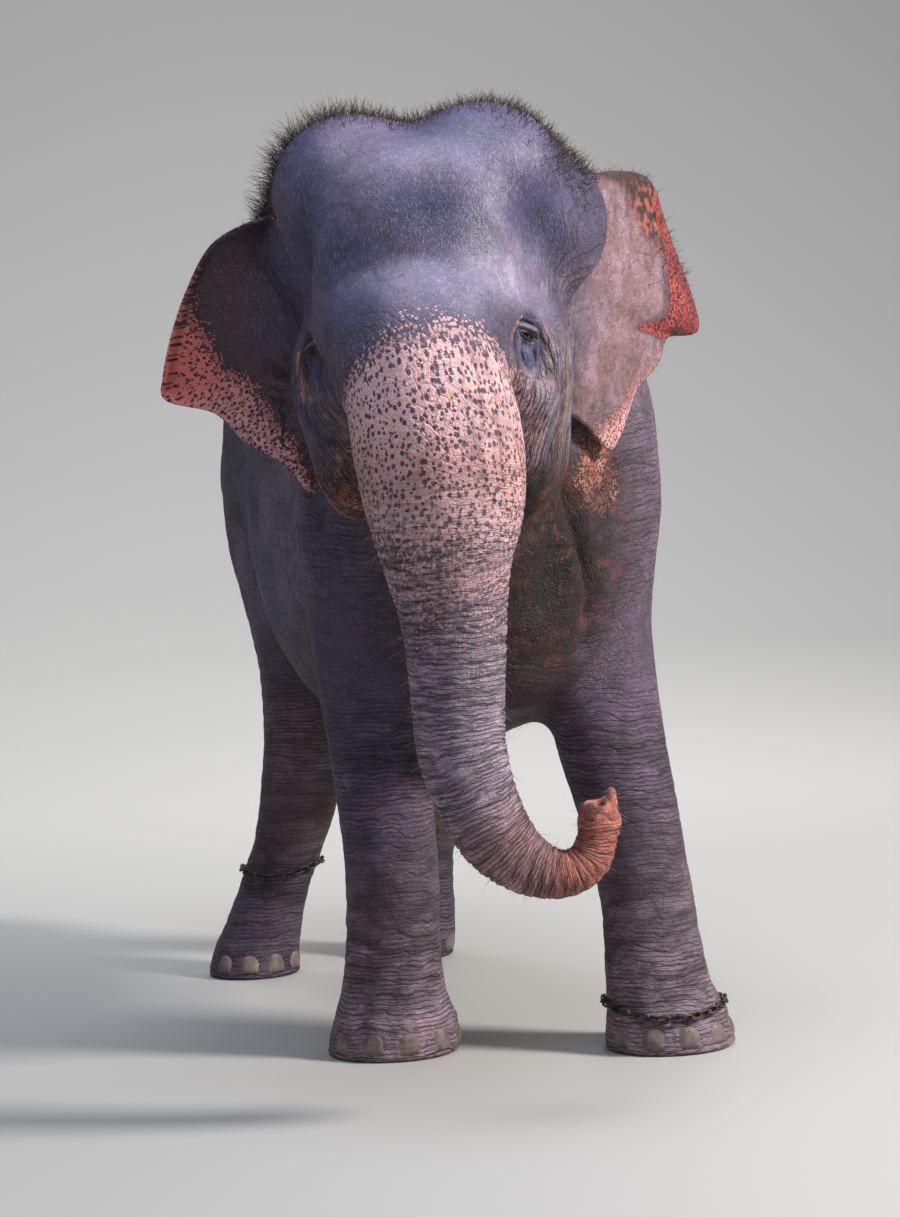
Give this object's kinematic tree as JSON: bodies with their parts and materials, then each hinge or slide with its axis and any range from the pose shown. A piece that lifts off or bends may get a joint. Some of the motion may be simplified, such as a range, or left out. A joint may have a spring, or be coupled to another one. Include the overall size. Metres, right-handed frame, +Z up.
{
  "type": "asian elephant museum model",
  "caption": "Life-size still model of a young adult Asian elephant cow standing with its head turned to its right, trunk tip curled up and chain loops on its ankles.",
  "frame": {"origin": "middle of the model's footprint at floor level, under the centre of its bounding box", "axes": "+Z up, -Y the way the body faces, +X towards the animal's own left side"},
  "size_m": [1.3979, 2.9711, 2.2955],
  "materials": {
    "skin": "bare grey elephant hide, finely wrinkled, with pink speckled patches",
    "ear_skin": "thin ear hide, brown in the middle and speckled pink at the margins",
    "horn": "pinkish grey toenail horn",
    "eye": "wet dark brown eye",
    "tail_hair": "stiff black hair on a grey tail",
    "iron": "worn dark steel chain"
  },
  "bodies": {
    "root": {"chest": "skin", "barrel": "skin", "rump": "skin", "neck": "skin", "front_right_upper_leg": "skin", "front_right_lower_leg": "skin", "front_right_foot": "skin", "front_right_nail_1": "horn", "front_right_nail_2": "horn", "front_right_nail_3": "horn", "front_right_nail_4": "horn", "front_right_nail_5": "horn", "front_left_upper_leg": "skin", "front_left_lower_leg": "skin", "front_left_foot": "skin", "front_left_nail_1": "horn", "front_left_nail_2": "horn", "front_left_nail_3": "horn", "front_left_nail_4": "horn", "front_left_nail_5": "horn", "hind_right_upper_leg": "skin", "hind_right_lower_leg": "skin", "hind_right_foot": "skin", "hind_right_nail_1": "horn", "hind_right_nail_2": "horn", "hind_right_nail_3": "horn", "hind_right_nail_4": "horn", "hind_left_upper_leg": "skin", "hind_left_lower_leg": "skin", "hind_left_foot": "skin", "hind_left_nail_1": "horn", "hind_left_nail_2": "horn", "hind_left_nail_3": "horn", "hind_left_nail_4": "horn", "jaw": "skin", "head": "skin", "eye_right": "eye", "eye_left": "eye", "trunk_upper": "skin", "trunk_middle": "skin", "trunk_lower": "skin", "trunk_tip": "skin", "ear_right": "ear_skin", "ear_left": "ear_skin", "tail": "skin", "tail_tuft": "tail_hair", "chain_hind_right": "iron", "chain_front_left": "iron"}
  },
  "joints": []
}
